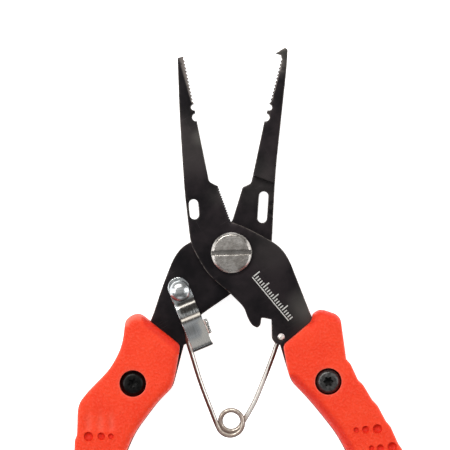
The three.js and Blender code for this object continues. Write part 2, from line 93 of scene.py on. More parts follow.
def add_piece(name, verts, faces, body, slot, paint, replaces=(), sharp=38, wear_and_painted_light=None):
    """A mesh in millimetres becomes a piece that rides on a body and stands for CAD nodes.

    A piece with no body is one that the caller blends between two. Its vertex value means what the
    paint makes of it: real wear on some pieces, painted light and shade on others."""
    mesh = bpy.data.meshes.new(name)
    points = (np.asarray(verts, float) + PIVOT) * MM
    mesh.from_pydata(points.tolist(), [], [tuple(int(i) for i in f) for f in faces])
    if wear_and_painted_light is not None:
        layer = mesh.attributes.new("wear_and_painted_light", "FLOAT", "POINT")
        layer.data.foreach_set("value", np.asarray(wear_and_painted_light, np.float32))
    mesh.validate()
    mesh.materials.append(paint)
    mesh.shade_smooth()
    mesh.set_sharp_from_angle(angle=math.radians(sharp))
    obj = in_scene(name, mesh)
    if body:
        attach(obj, body)
    if replaces:
        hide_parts(*replaces)
    return obj


def merged(*parts):
    """Several (verts, faces) as one."""
    verts, faces, base = [], [], 0
    for v, f in parts:
        verts.append(np.asarray(v, float))
        faces += [tuple(i + base for i in face) for face in f]
        base += len(v)
    return np.vstack(verts), faces


def loft(rings, close_start=True, close_end=True):
    """A skin over rings with equal counts of points, turning anticlockwise about their way."""
    n = len(rings[0])
    verts = np.vstack(rings)
    faces = []
    for k in range(len(rings) - 1):
        a, b = k * n, (k + 1) * n
        faces += [(a + i, a + (i + 1) % n, b + (i + 1) % n, b + i) for i in range(n)]
    if close_start:
        faces.append(tuple(range(n - 1, -1, -1)))
    if close_end:
        faces.append(tuple((len(rings) - 1) * n + i for i in range(n)))
    return verts, faces


def ring_at(centre, radii, z, angles):
    x, y = centre[0] + radii * np.cos(angles), centre[1] + radii * np.sin(angles)
    return np.column_stack([x, y, np.full(len(angles), z)])


def band(rings):
    """A skin over rings that ends where it began, such as a nut's."""
    n, last = len(rings[0]), (len(rings) - 1) * len(rings[0])
    verts, faces = loft([ring[::-1] for ring in rings], False, False)
    faces += [(last + i, last + (i + 1) % n, (i + 1) % n, i) for i in range(n)]
    return verts, faces


def circle(centre, radius, z, count=64, lobes=0, lobe=0.0, turn=0.0):
    """A ring of points; lobes is the number of rounded lobes, lobe their height."""
    a = np.linspace(0, 2 * math.pi, count, endpoint=False)
    return ring_at(centre, radius + lobe * np.cos(lobes * (a - math.radians(turn))), z, a)


def lathe(centre, profile, count=64):
    """A solid of revolution; the profile [radius, z] goes from its low end to its high end."""
    return loft([circle(centre, max(r, 1e-3), z, count) for r, z in profile])


def outlines(node, height):
    """The closed outlines of a CAD node cut at a height, longest first, anticlockwise."""
    bm = bmesh.new()
    bm.from_mesh(frame["nodes"][node].data)
    bmesh.ops.remove_doubles(bm, verts=bm.verts, dist=1e-6)
    cut = bmesh.ops.bisect_plane(
        bm,
        geom=bm.verts[:] + bm.edges[:] + bm.faces[:],
        plane_co=(0, 0, (PIVOT[2] + height) * MM),
        plane_no=(0, 0, 1),
        clear_outer=True,
    )
    links = {}
    for e in cut["geom_cut"]:
        if isinstance(e, bmesh.types.BMEdge):
            a, b = e.verts
            links.setdefault(a, []).append(b)
            links.setdefault(b, []).append(a)
    loops = []
    while links:
        chain, here = [], next(iter(links))
        while here in links:
            chain.append(here)
            a, b = links.pop(here)
            here = a if a in links else b
        loops.append(np.array([[v.co.x / MM, v.co.y / MM] for v in chain]) - PIVOT[:2])
    bm.free()
    loops = [np.flipud(loop) if area(loop) < 0 else loop for loop in loops]
    return sorted(loops, key=lambda loop: -abs(area(loop)))


def area(loop):
    x, y = loop.T
    return 0.5 * float(np.sum(x * np.roll(y, -1) - y * np.roll(x, -1)))


def neighbours(loop):
    """The points before and after each point of a closed loop."""
    return np.roll(loop, 1, axis=0), np.roll(loop, -1, axis=0)


def unit(vectors):
    return vectors / np.maximum(np.linalg.norm(vectors, axis=1), 1e-9)[:, None]


def turns(loop):
    """The angle in degrees by which a closed loop turns at each point."""
    before, after = neighbours(loop)
    before, after = loop - before, after - loop
    cross = before[:, 0] * after[:, 1] - before[:, 1] * after[:, 0]
    return np.degrees(np.arctan2(cross, np.sum(before * after, axis=1)))


def refined(loop, spacing, corner, passes, deeper=0.0):
    """A loop with points at most a spacing apart, its gentle bends smoothed, its corners kept.

    The gullets in a row of teeth get that much deeper."""
    loop = loop[np.abs(turns(loop)) > 0.4]
    if deeper:
        bend = turns(loop)
        gullet = (bend < -30) & (np.roll(bend, 1) > 30) & (np.roll(bend, -1) > 30)
        inward = deeper * unit(loop - sum(neighbours(loop)) / 2)
        inward[loop[:, 1] < CUTTER_TOP] *= 1.6  # fine teeth would be lost otherwise
        loop = np.where(gullet[:, None], loop + inward, loop)
    fixed = np.abs(turns(loop)) > corner
    points, keep = [], []
    for i, p in enumerate(loop):
        q = loop[(i + 1) % len(loop)]
        count = max(1, math.ceil(np.linalg.norm(q - p) / spacing))
        for k in range(count):
            points.append(p + (q - p) * k / count)
            keep.append(fixed[i] and k == 0)
    points, keep = np.array(points), np.array(keep)
    for _ in range(passes):
        points = np.where(keep[:, None], points, (points + sum(neighbours(points)) / 2) / 2)
    return points


def distance(points, loop, closed=True):
    """The distance of each point to a polyline."""
    a = loop if closed else loop[:-1]
    b = np.roll(loop, -1, axis=0) if closed else loop[1:]
    best = np.full(len(points), 1e9)
    for i in range(0, len(points), 2000):
        p = points[i : i + 2000, None, :]
        along = b - a
        t = np.sum((p - a) * along, axis=2) / np.maximum(np.sum(along**2, axis=1), 1e-12)
        near = a + np.clip(t, 0, 1)[..., None] * along
        best[i : i + 2000] = np.sqrt(np.min(np.sum((p - near) ** 2, axis=2), axis=1))
    return best


def nearest(points, loops):
    """The distance of each point to the nearest of several loops."""
    return np.min([distance(points, loop) for loop in loops], axis=0)


def inside(points, loops):
    """Whether each point is in the material that a set of loops bounds."""
    hit = np.zeros(len(points), int)
    x, y = points[:, 0:1], points[:, 1:2]
    for loop in loops:
        x0, y0 = loop.T
        x1, y1 = np.roll(loop, -1, axis=0).T
        crosses = (y0 > y) != (y1 > y)
        slope = (x1 - x0) / np.where(y1 == y0, 1e-12, y1 - y0)
        hit += np.sum(crosses & (x < x0 + (y - y0) * slope), axis=1)
    return hit % 2 == 1


def rounded(d, radius):
    """How far a surface has dropped at a distance d from an edge with that radius."""
    inner = np.clip(radius - d, 0, radius)
    return radius - np.sqrt(np.maximum(radius**2 - inner**2, 0))


def level(height):
    """A height function for sheet() that is the same everywhere."""
    return lambda p: np.full(len(p), height)


ROUND_STEPS = (0.076, 0.293, 0.617, 1.0)  # shares of an edge's radius that get a row of points
EDGE_RUB_AND_PAINTED_LIGHT_WIDTH = 0.45  # how far from an edge the edge mark reaches: rub on the plates, painted light on other pieces


def sheet(loops, top, bottom, top_edge, bottom_edge, spacing, extra=None):
    """A body between two height functions over an area with holes, its edges rounded.

    The first loop is the outline and the others are holes. Extra points make a feature crisp.
    top_edge and bottom_edge give the rounding radius at each loop. It returns the vertices, the
    faces, an edge mark for each vertex (1 on a rounded edge), which is rub on the plates and painted
    light on other pieces, and the loops' vertex numbers."""
    points, edges, spans = [], [], []
    for loop in loops:
        base = len(points)
        points += loop.tolist()
        edges += [(base + i, base + (i + 1) % len(loop)) for i in range(len(loop))]
        spans.append((base, len(loop)))
    inner = []
    for k, loop in enumerate(loops):
        before, after = neighbours(loop)
        normal = unit((after - before)[:, ::-1] * (-1, 1))
        side = 1 if k == 0 else -1
        for radius in sorted({top_edge[k], bottom_edge[k]}):
            for share in ROUND_STEPS:
                ring = loop + side * normal * radius * share
                inner.append(ring[nearest(ring, loops) > 0.96 * radius * share])
    reach = max(top_edge[0], bottom_edge[0])
    low, high = loops[0].min(axis=0), loops[0].max(axis=0)
    rows = np.arange(low[1], high[1], spacing * math.sqrt(3) / 2)
    columns = np.arange(low[0], high[0], spacing)
    grid = np.array([(x + r % 2 * spacing / 2, y) for r, y in enumerate(rows) for x in columns])
    grid = grid[inside(grid, loops)]
    grid = grid[nearest(grid, loops) > reach + 0.35 * spacing]
    if extra is not None and len(extra):
        extra = extra[inside(extra, loops)]
        gap = np.array([np.min(np.sum((extra - g) ** 2, axis=1)) for g in grid])
        grid = grid[gap > (0.3 * spacing) ** 2]
        inner.append(extra[nearest(extra, loops) > 0.05])
    points = np.vstack([np.array(points), *inner, grid])
    made = delaunay_2d_cdt([Vector(p) for p in points], edges, [], 0, 1e-6)
    flat = np.array([(v.x, v.y) for v in made[0]])
    where = {o: i for i, origs in enumerate(made[3]) for o in origs}
    triangles = np.array([f for f in made[2] if len(f) == 3])
    corners = flat[triangles]
    turned = np.cross(corners[:, 1] - corners[:, 0], corners[:, 2] - corners[:, 0])
    triangles[turned < 0] = triangles[turned < 0][:, ::-1]
    solid = inside(corners.mean(axis=1), loops) & (np.abs(turned) > 1e-9)
    triangles = triangles[solid]
    away = [distance(flat, loop) for loop in loops]

    def drop(edge):
        return np.max([rounded(d, radius) for d, radius in zip(away, edge)], axis=0)

    upper = np.column_stack([flat, top(flat) - drop(top_edge)])
    lower = np.column_stack([flat, bottom(flat) + drop(bottom_edge)])
    count = len(flat)
    faces = [tuple(t) for t in triangles]
    faces += [tuple(t[::-1] + count) for t in triangles]
    rims = []
    for k, (base, length) in enumerate(spans):
        ring = [where[base + i] for i in range(length)]
        rims.append(ring)
        for i, a in enumerate(ring):
            b = ring[(i + 1) % length]
            quad = (a, a + count, b + count, b)
            faces.append(quad if k == 0 else quad[::-1])
    near = np.min(away, axis=0)
    wear_and_painted_light = np.where(near < 0.01, 0.2, np.clip(1 - near / EDGE_RUB_AND_PAINTED_LIGHT_WIDTH, 0, 1))
    return np.vstack([upper, lower]), faces, np.concatenate([wear_and_painted_light, wear_and_painted_light]), rims


# ---------------- materials


def is_socket(value):
    return isinstance(value, bpy.types.NodeSocket)


class Paint:
    """A node material; every pattern is in millimetres on the piece."""

    def __init__(self, name, base, metallic, roughness, specular=0.5):
        self.material = bpy.data.materials.new(name)
        self.material.use_nodes = True
        self.tree = self.material.node_tree
        self.shader = self.tree.nodes["Principled BSDF"]
        self.fill(self.shader, {
            "Base Color": (*base, 1), "Metallic": metallic, "Roughness": roughness,
            "Specular IOR Level": specular,
        })
        own = self.node("ShaderNodeTexCoord").outputs["Object"]
        scale, shift = (1 / MM,) * 3, (-PIVOT).tolist()
        self.place = self.vector("MULTIPLY_ADD", {0: own, 1: scale, 2: shift}).outputs[0]
        self.height = None

    def fill(self, node, inputs):
        """Gives each input of a node a socket or a plain value."""
        for key, value in inputs.items():
            if is_socket(value):
                self.tree.links.new(value, node.inputs[key])
            else:
                node.inputs[key].default_value = value

    def node(self, kind, inputs=None, **settings):
        made = self.tree.nodes.new(kind)
        for key, value in settings.items():
            setattr(made, key, value)
        self.fill(made, inputs or {})
        return made

    def vector(self, operation, inputs):
        return self.node("ShaderNodeVectorMath", inputs, operation=operation)

    def math(self, operation, a, b):
        return self.node("ShaderNodeMath", {0: a, 1: b}, operation=operation).outputs[0]

    def stretched(self, turn, scale):
        """Coordinates turned in the plane, then scaled along each axis."""
        inputs = {"Vector": self.place, "Angle": math.radians(turn)}
        turned = self.node("ShaderNodeVectorRotate", inputs, rotation_type="Z_AXIS")
        return self.vector("MULTIPLY", {0: turned.outputs[0], 1: scale}).outputs[0]

    def noise(self, scale, detail=3.0, rough=0.5, place=None):
        inputs = {"Vector": place or self.place, "Scale": scale, "Detail": detail}
        return self.node("ShaderNodeTexNoise", {**inputs, "Roughness": rough}).outputs["Fac"]

    def ramp(self, source, low, high, from_value=0.0, to_value=1.0):
        inputs = {"Value": source, "From Min": low, "From Max": high}
        inputs |= {"To Min": from_value, "To Max": to_value}
        made = self.node("ShaderNodeMapRange", inputs, interpolation_type="SMOOTHSTEP")
        return made.outputs["Result"]

    def mix(self, factor, a, b):
        """A colour between a and b, each a colour or a socket."""
        a, b = (colour if is_socket(colour) else (*colour, 1) for colour in (a, b))
        inputs = {"Factor": factor, 6: a, 7: b}
        return self.node("ShaderNodeMix", inputs, data_type="RGBA").outputs[2]

    def near(self, x, y, radius, soft):
        """1 within a radius of a point, falling to 0 over a soft rim."""
        flat = self.vector("MULTIPLY", {0: self.place, 1: (1, 1, 0)}).outputs[0]
        gap = self.vector("DISTANCE", {0: flat, 1: (x, y, 0)}).outputs["Value"]
        return self.ramp(gap, radius, radius + soft, 1.0, 0.0)

    def wear_and_painted_light(self):
        return self.node("ShaderNodeAttribute", attribute_name="wear_and_painted_light").outputs["Fac"]

    def set(self, socket, source):
        self.fill(self.shader, {socket: source})

    def bump(self, source, depth_mm):
        inputs = {"Strength": 1.0, "Distance": depth_mm * MM, "Height": source}
        if self.height is not None:
            inputs["Normal"] = self.height
        self.height = self.node("ShaderNodeBump", inputs).outputs["Normal"]
        self.set("Normal", self.height)


def black_oxide(name, glares):
    """Blackened steel: mottled, with fine grinding lines, thin scratches and soft glares.

    The vertex value is how much of the black is rubbed off at the edges, and a painted highlight on
    the ground bevels. A glare is a painted highlight: x, y, radius, soft rim, strength."""
    p = Paint(name, (0.02, 0.018, 0.02), 0.85, 0.38)
    blotch = p.noise(0.09, 4, 0.6)
    base = p.mix(p.ramp(blotch, 0.35, 0.7), (0.013, 0.0115, 0.0135), (0.028, 0.022, 0.025))
    lines = p.noise(1.0, 2, 0.5, p.stretched(8, (9.0, 0.25, 3.0)))
    scratch_a = p.noise(1.0, 2, 0.4, p.stretched(62, (7.0, 0.07, 1.0)))
    scratch_b = p.noise(1.0, 2, 0.4, p.stretched(-28, (6.0, 0.09, 1.0)))
    marks = p.math(
        "MAXIMUM",
        p.ramp(scratch_a, 0.7, 0.78, 0.0, 0.45),
        p.ramp(scratch_b, 0.72, 0.8, 0.0, 0.4),
    )
    base = p.mix(marks, base, (0.12, 0.115, 0.115))
    for x, y, radius, soft, strength in glares:
        spot = p.math("MULTIPLY", p.near(x, y, radius, soft), strength)
        base = p.mix(spot, base, (0.2, 0.19, 0.175))
    # Rub at the edges, and a painted highlight on the ground bevels.
    rub_and_sheen = p.math("MULTIPLY", p.ramp(p.wear_and_painted_light(), 0.35, 1.0), p.ramp(p.noise(0.5, 3), 0.3, 0.55))
    base = p.mix(p.math("MULTIPLY", rub_and_sheen, 0.7), base, (0.32, 0.28, 0.255))
    p.set("Base Color", base)
    rough = p.math("ADD", p.ramp(blotch, 0.3, 0.7, 0.3, 0.44), p.math("MULTIPLY", lines, 0.08))
    p.set("Roughness", rough)
    p.bump(lines, 0.004)
    p.bump(p.noise(5.0, 2), 0.004)
    return p.material


def tumbled_steel():
    """Stainless steel with a tumbled, slightly cloudy surface; its vertex value darkens it as
    painted shade in the slot.
    """
    p = Paint("tumbled_steel", (0.6, 0.58, 0.55), 1.0, 0.3)
    cloud = p.noise(0.32, 5, 0.65)
    streak = p.noise(1.0, 3, 0.6, p.stretched(70, (2.4, 0.6, 1.0)))
    tone = p.mix(p.ramp(cloud, 0.35, 0.66), (0.4, 0.37, 0.34), (0.66, 0.63, 0.6))
    tone = p.mix(p.ramp(streak, 0.45, 0.7, 0.0, 0.35), tone, (0.8, 0.78, 0.75))
    # Painted shade on the walls of the pivot screw's slot.
    p.set("Base Color", p.mix(p.math("MULTIPLY", p.wear_and_painted_light(), 0.6), tone, (0.2, 0.19, 0.18)))
    p.set("Roughness", p.ramp(streak, 0.3, 0.7, 0.24, 0.36))
    p.bump(p.noise(3.2, 4, 0.6), 0.006)
    p.bump(streak, 0.006)
    return p.material


def bright_zinc(name, turn, low, high, painted_bands=False):
    """Bright plating with faint rolling lines, which vary its roughness from low to high.

    With painted bands, a vertex value over 0.5 paints a highlight and one under 0.5 paints shade."""
    p = Paint(name, (0.74, 0.76, 0.77), 1.0, 0.2)
    lines = p.noise(1.0, 4, 0.65, p.stretched(turn, (0.18, 5.0, 1.0)))
    base = p.mix(p.ramp(lines, 0.35, 0.65), (0.5, 0.53, 0.55), (0.72, 0.74, 0.75))
    if painted_bands:
        # Painted highlight and painted shade, from the vertex value.
        base = p.mix(p.ramp(p.wear_and_painted_light(), 0.5, 1.0), base, (0.95, 0.93, 0.88))
        base = p.mix(p.ramp(p.wear_and_painted_light(), 0.0, 0.5, 1.0, 0.0), base, (0.05, 0.042, 0.034))
    p.set("Base Color", base)
    p.set("Roughness", p.ramp(lines, 0.3, 0.7, low, high))
    p.bump(lines, 0.004)
    p.bump(p.noise(0.6, 2), 0.01)
    return p.material


def spring_steel():
    """Drawn wire, bright on its back, with painted shade: darker where it faces away, and one
    brownish shaded flank where the vertex value is over a half.
    """
    p = Paint("spring_steel", (0.8, 0.76, 0.72), 0.4, 0.2, 0.2)
    spots = p.noise(1.4, 4, 0.6)
    tilt = p.node("ShaderNodeLayerWeight").outputs["Facing"]
    coil = p.near(COIL_SHOWN[0], COIL[1] + 0.1, 4.9, 0.9)
    bright = p.mix(p.ramp(spots, 0.35, 0.7), (0.8, 0.77, 0.72), (0.97, 0.95, 0.9))
    warm = p.mix(p.ramp(spots, 0.35, 0.7), (0.5, 0.42, 0.35), (0.78, 0.7, 0.62))
    base = p.mix(coil, bright, warm)
    # Painted shade: darker where the wire faces away, then a brownish shaded flank.
    base = p.mix(p.ramp(tilt, 0.12, 0.4, 0.0, 0.85), base, (0.11, 0.095, 0.085))
    flank_shade = p.math("MULTIPLY", p.ramp(p.wear_and_painted_light(), 0.4, 0.52), p.ramp(coil, 0.0, 1.0, 1.0, 0.55))
    p.set("Base Color", p.mix(flank_shade, base, (0.1, 0.03, 0.022)))
    back, unshaded = p.ramp(tilt, 0.05, 0.3, 0.35, 0.0), p.ramp(flank_shade, 0.0, 1.0, 1.0, 0.0)
    p.set("Metallic", p.math("MULTIPLY", back, unshaded))
    p.set("Specular IOR Level", p.ramp(tilt, 0.1, 0.35, 0.45, 0.0))
    p.set("Roughness", p.ramp(p.noise(2.5, 3), 0.3, 0.7, 0.14, 0.28))
    p.bump(p.noise(4.0, 3), 0.004)
    return p.material


def red_plastic():
    """Moulded plastic with a fine grain.

    A vertex value below 0 paints a highlight, from 0 to 1 paints shade, and up to 2 paints the
    near-black shade inside a hole."""
    p = Paint("red_plastic", (0.95, 0.047, 0.009), 0.0, 0.44, 0.25)
    tone = p.noise(0.12, 3, 0.5)
    grain = p.noise(1.25, 4, 0.6)
    base = p.mix(p.ramp(tone, 0.3, 0.7), (0.93, 0.041, 0.008), (0.97, 0.054, 0.012))
    base = p.mix(p.ramp(grain, 0.45, 0.7, 0.0, 0.5), base, (1.0, 0.11, 0.055))
    # Painted highlight, painted shade, then near-black painted shade inside the counterbores.
    base = p.mix(p.ramp(p.wear_and_painted_light(), -1, 0, 0.5, 0.0), base, (1.0, 0.3, 0.22))
    base = p.mix(p.math("MULTIPLY", p.ramp(p.wear_and_painted_light(), 0, 1), 0.75), base, (0.7, 0.012, 0.004))
    p.set("Base Color", p.mix(p.ramp(p.wear_and_painted_light(), 1, 2), base, (0.05, 0.006, 0.004)))
    p.set("Roughness", p.ramp(grain, 0.3, 0.7, 0.38, 0.52))
    p.bump(grain, 0.4)
    return p.material


def black_screw(name, tone):
    """Black oxide on a turned head; its vertex value marks the inside of its socket, which gets
    near-black painted shade.
    """
    p = Paint(name, (tone, tone, tone), 0.7, 0.36)
    spots = p.noise(1.2, 4, 0.6)
    base = p.mix(p.ramp(spots, 0.35, 0.7), (0.7 * tone,) * 3, (1.4 * tone,) * 3)
    # Near-black painted shade inside the socket.
    p.set("Base Color", p.mix(p.wear_and_painted_light(), base, (0.003, 0.003, 0.003)))
    p.set("Roughness", p.ramp(spots, 0.3, 0.7, 0.26, 0.42))
    p.bump(p.noise(4.0, 3), 0.01)
    return p.material


def etched():
    """Bare metal where a laser has marked the black surface."""
    p = Paint("etched_marks", (0.62, 0.62, 0.6), 0.4, 0.5)
    spots = p.noise(4.0, 3)
    p.set("Base Color", p.mix(p.ramp(spots, 0.3, 0.7), (0.5, 0.5, 0.48), (0.75, 0.75, 0.73)))
    p.bump(spots, 0.01)
    return p.material


FRONT_GLARES = [
    (26.0, -19.0, 0.5, 9.5, 0.45), (-12.0, 37.0, 2.0, 14.0, 0.12), (-10.4, 39.2, 0.3, 4.0, 0.35),
    (-4.5, 19.5, 0.5, 5.0, 0.12), (13.0, 1.0, 1.0, 10.0, 0.1),
]
REAR_GLARES = [(17.5, 68.6, 1.5, 9.5, 0.35), (9.0, 24.0, 3.0, 9.0, 0.1)]
FRONT_STEEL = black_oxide("black_oxide_front", FRONT_GLARES)
REAR_STEEL = black_oxide("black_oxide_rear", REAR_GLARES)
STAINLESS = tumbled_steel()
ZINC = bright_zinc("bright_zinc", -LEVER_TURN, 0.15, 0.27, painted_bands=True)
RIVET_ZINC = bright_zinc("rivet_zinc", 0, 0.24, 0.34)
SPRING_STEEL = spring_steel()
PLASTIC = red_plastic()
SCREW_BLACK = black_screw("black_screw", 0.008)
SCREW_WORN = black_screw("worn_black_screw", 0.09)
ETCHED = etched()


# ---------------- plates


def taper(y):
    """How much thinner a jaw is on each side at y."""
    return np.clip(y - TAPER_START, 0, None) * (PLATE - TIP) / (TAPER_END - TAPER_START)


def shoulder(side):
    """The directions along the shoulder and away from the tip."""
    angle = math.radians(side * SHOULDER_SLOPE)
    cos, sin = math.cos(angle), math.sin(angle)
    return np.array([cos, -sin]), np.array([-sin, -cos])


def behind_shoulder(points, side):
    """How far a point is on the handle's side of the step where a jaw becomes full thickness."""
    return (points - SHOULDER * (side, 1)) @ shoulder(side)[1]


def step(value, width):
    """A smooth rise from 0 to 1 that is centred on 0."""
    t = np.clip(value / width + 0.5, 0, 1)
    return t * t * (3 - 2 * t)


def shoulder_points(side):
    """Rows of points along the shoulder, so that its step is crisp."""
    along, across = shoulder(side)
    rows = (-0.3, -0.12, -0.05, 0, 0.05, 0.12, 0.3)
    places = np.arange(-30, 30, 0.5)
    return np.array([SHOULDER * (side, 1) + along * t + across * w for t in places for w in rows])


# Ground bevels on the front plate: start, end, the width at each, depth at the edge, and the
# strength of the painted highlight on the bevel.
BEVELS = [
    (np.array([-12.95, 51.2]), np.array([-16.1, 66.4]), 0.9, 2.3, 0.7, 1.0),
    (np.array([-0.1, 10.5]), np.array([-4.4, 22.4]), 1.8, 2.0, 0.35, 0.2),
]


def bevel_share(points, bevel):
    """1 on a bevel's edge, falling to 0 at its far side."""
    start, end, first, last = bevel[:4]
    gap = distance(points, np.array([start, end]), closed=False)
    along = (points - start) @ (end - start) / np.sum((end - start) ** 2)
    return np.clip(1 - gap / (first + (last - first) * np.clip(along, 0, 1)), 0, 1)


def bevel_points():
    """Rows of points along the bevels, so that they are crisp."""
    points = []
    for start, end, first, last, *_ in BEVELS:
        inward = np.array([start[1] - end[1], end[0] - start[0]]) / np.linalg.norm(end - start)
        for t in np.linspace(0, 1.02, 30):
            width = first + (last - first) * t
            line = start + (end - start) * t
            points += [line + inward * width * w for w in (0.4, 0.7, 0.95, 1.05)]
    return np.array(points)


def jaw_plate(node, height, top, bottom, extra):
    """A jaw's body within its CAD node's outlines at a height, and how rubbed it is."""
    loops = [refined(loop, 0.9, 8, 2, deeper=0.12) for loop in outlines(node, height)]
    edge = [0.22] + [0.25] * (len(loops) - 1)
    return sheet(loops, top, bottom, edge, edge, 1.6, extra)[:3]


def inner_side(points, side):
    """The height of a jaw's far face, which drops to the lap behind the shoulder."""
    full = PLATE - taper(points[:, 1])
    return full - (LAP_GAP + full) * step(behind_shoulder(points, side), 0.1)


def front_plate():
    def top(p):
        return PLATE - taper(p[:, 1]) - sum(b[4] * bevel_share(p, b) for b in BEVELS)

    extra = np.vstack([shoulder_points(-1), bevel_points()])
    verts, faces, wear_and_painted_light = jaw_plate(
        "front_jaw_plate", 1.0, top, lambda p: -inner_side(p, -1), extra
    )
    # A painted highlight on the ground bevels, on the top face only.
    bevel_sheen = np.max([b[5] * bevel_share(verts[:, :2], b) ** 0.3 for b in BEVELS], axis=0)
    bevel_sheen[len(verts) // 2 :] = 0
    add_piece(
        "front_plate", verts, faces, "front_half", "jaw_steel", FRONT_STEEL,
        ["front_jaw_plate"], wear_and_painted_light=np.maximum(wear_and_painted_light, bevel_sheen),
    )


def rear_plate():
    def bottom(p):
        return taper(p[:, 1]) - PLATE

    verts, faces, wear_and_painted_light = jaw_plate(
        "rear_jaw_plate", -1.0, lambda p: inner_side(p, 1), bottom, shoulder_points(1)
    )
    add_piece(
        "rear_plate", verts, faces, "rear_half", "jaw_steel", REAR_STEEL,
        ["rear_jaw_plate"], wear_and_painted_light=wear_and_painted_light,
    )


def scale_marks():
    """A plain ruler with a tick at each millimetre and no figures, etched on the front plate."""
    start, along, across = np.array([[7.3, -8.3], [0.639, -0.769], [0.769, 0.639]])
    parts = []

    def bar(u0, u1, v0, v1):
        spots = ((u0, v0), (u1, v0), (u1, v1), (u0, v1))
        corners = [start + along * u + across * v for u, v in spots]
        parts.append(loft([np.array([[*c, PLATE + z] for c in corners]) for z in (-0.01, 0.02)]))

    bar(-0.2, 19.2, -0.35, 0.0)
    for k in range(20):
        bar(k - 0.2, k + 0.2, 0.35, 1.7 if k % 5 else 3.0)
    add_piece("etched_scale", *merged(*parts), "front_half", "jaw_steel", ETCHED)


front_plate()
rear_plate()
scale_marks()


# ---------------- grips

# Dimples: centre and width.
LEFT_DIMPLES = [
    (-48.4, -62.2, 3.3), (-44.1, -62.1, 2.7), (-40.8, -62.1, 2.0),
    (-50.0, -69.2, 3.3), (-45.7, -69.1, 2.7), (-42.4, -69.1, 2.0),
    (-52.0, -76.2, 3.3), (-47.7, -76.1, 2.7), (-44.4, -76.1, 2.0),
]
RIGHT_DIMPLES = [
    (42.2, -60.0, 2.0), (45.4, -59.8, 2.6), (49.4, -59.6, 3.3),
    (47.4, -66.1, 2.0), (50.4, -66.1, 2.6), (54.4, -65.7, 3.3),
    (50.6, -72.6, 2.0), (53.8, -72.5, 2.6), (57.8, -72.1, 3.3),
    (53.2, -79.4, 2.0), (56.4, -79.3, 2.6), (60.2, -79.0, 3.1),
]
LEFT_SCREWS = [(-33.4, -44.3), (-50.2, -93.0)]
RIGHT_SCREWS = [(32.8, -43.6), (55.0, -93.0)]
# Shallow upright flutes above the left grip's dimples: x and depth of each, then their ends.
FLUTES = [(-48.4, 0.6), (-44.3, 0.55), (-40.6, 0.5)]
FLUTE_TOP, FLUTE_FOOT = -51.5, -61.0
# Room under the left grip's front scale for the spring's front arm when the tool is shut.
SPRING_RELIEF_TOP = 2.4
SPRING_RELIEF = np.array([
    (-10, -28.5), (-19.8, -28.2), (-19.5, -33.4), (-21.4, -41.9), (-22.6, -46.5),
    (-27.2, -52.4), (-10, -52.4),
])


def dimple_drop(points, dimples):
    """How deep the dimples are at each point; a low lip runs around each."""
    drop = np.zeros(len(points))
    for x, y, size in dimples:
        r = np.hypot(points[:, 0] - x, points[:, 1] - y) / (size / 2)
        bowl = 0.38 * size * np.clip(1 - r**2, 0, 1) ** 0.6
        lip = 0.06 * np.exp(-(((r - 1.05) / 0.12) ** 2))
        drop += bowl - lip * (r > 0.9)
    return drop


def flute(points, x, width):
    """A flute's cross section, 1 along its middle, fading out at both ends."""
    y = points[:, 1]
    fade = np.clip((FLUTE_TOP - y) / 5, 0, 1) * np.clip((y - FLUTE_FOOT) / 1.2, 0, 1)
    return fade * np.exp(-(((points[:, 0] - x) / width) ** 2))


def relief_points():
    """Points just inside and just outside the relief's walls."""
    walls = refined(SPRING_RELIEF, 0.5, 5, 0)
    outward = 0.04 * unit(walls - SPRING_RELIEF.mean(axis=0))
    return np.vstack([walls - outward, walls + outward])


def dimple_points(dimples):
    """Rings of points around each dimple, so that its bowl and lip are smooth."""
    rings = []
    for x, y, size in dimples:
        for share in (0.0, 0.3, 0.55, 0.75, 0.88, 0.96, 1.0, 1.06, 1.16, 1.35):
            rings.append(circle((x, y), share * size / 2, 0, 28 if share else 1)[:, :2])
    return np.vstack(rings)


